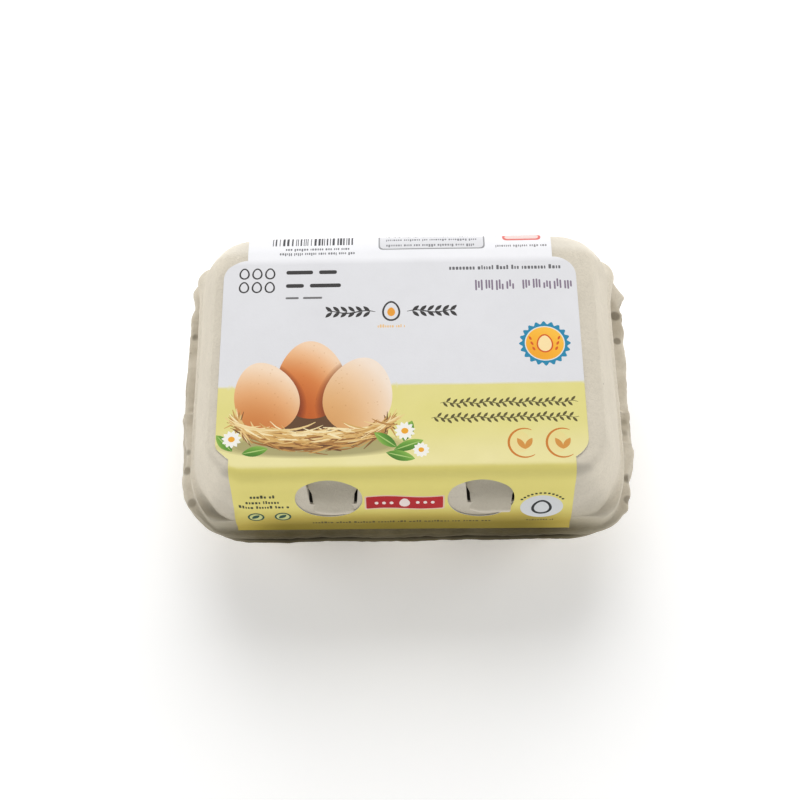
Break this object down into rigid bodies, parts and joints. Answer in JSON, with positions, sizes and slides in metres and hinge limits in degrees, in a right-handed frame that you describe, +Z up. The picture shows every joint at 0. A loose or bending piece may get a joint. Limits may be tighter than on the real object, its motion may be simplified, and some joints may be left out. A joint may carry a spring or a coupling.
{
  "type": "closed egg carton",
  "caption": "Closed moulded-pulp egg carton with cupped feet, a rimmed lid, lock tabs in its front wall and a printed paper label glued over the lid.",
  "frame": {"origin": "middle of the box that holds the carton, on the surface it stands on", "axes": "+X to the right seen from the front, +Y from the front with its two locks towards the hinge, +Z up"},
  "size_m": [0.154, 0.102, 0.07],
  "materials": {
    "pulp": "matte, fibrous",
    "label": "smooth, slight sheen"
  },
  "bodies": {
    "root": {"pulp_carton": "pulp", "paper_label": "label"}
  },
  "joints": []
}
